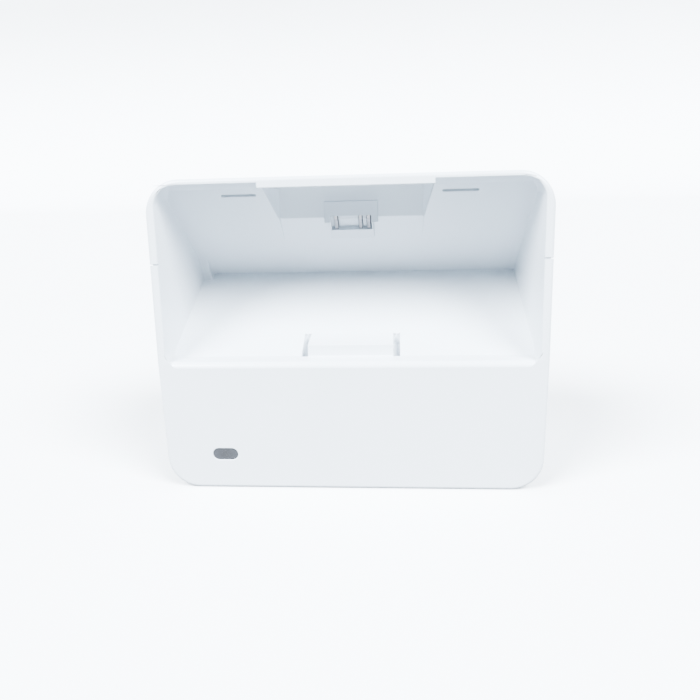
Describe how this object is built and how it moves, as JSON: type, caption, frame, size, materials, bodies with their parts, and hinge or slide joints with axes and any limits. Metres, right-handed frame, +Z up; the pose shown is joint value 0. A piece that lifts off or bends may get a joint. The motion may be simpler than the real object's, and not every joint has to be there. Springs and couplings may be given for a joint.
{
  "type": "robot mop power adapter",
  "caption": "Wall-plug battery charger: a soft-cornered white box with a deep V-shaped battery pocket in its upper front, a snap hook, a contact recess and flat blades on its back.",
  "frame": {"origin": "centre of the base face, midway between the front panel and the back face of the housing", "axes": "+X to the right seen from the front, +Y from the front panel to the wall, +Z up"},
  "size_m": [0.088, 0.0611, 0.0714],
  "materials": {
    "housing": "satin",
    "carrier": "satin",
    "contact_metal": "dull",
    "blade_metal": "nickel-plated",
    "lens": "smoky",
    "led": "clear",
    "board": "solder mask",
    "black_moulding": "matte",
    "ferrite": "matte",
    "coil_tape": "tape",
    "capacitor_sleeve": "sleeve",
    "fuse_case": "matte",
    "film_case": "matte"
  },
  "bodies": {
    "root": {"lower_housing": "housing", "upper_housing": "housing", "contact_carrier": "carrier", "contact_blade_1": "contact_metal", "contact_blade_2": "contact_metal", "contact_blade_3": "contact_metal", "contact_board": "board", "indicator_lens": "lens", "indicator_led": "led", "plug_carrier": "carrier", "plug_blade_left": "blade_metal", "plug_blade_right": "blade_metal", "main_board": "board", "transformer_base": "black_moulding", "transformer_core": "ferrite", "transformer_coil": "coil_tape", "bulk_capacitor_1": "capacitor_sleeve", "bulk_capacitor_2": "capacitor_sleeve", "output_capacitor": "capacitor_sleeve", "line_choke": "ferrite", "input_fuse": "fuse_case", "bridge_rectifier": "black_moulding", "controller_chip": "black_moulding", "safety_capacitor": "film_case"}
  },
  "joints": []
}
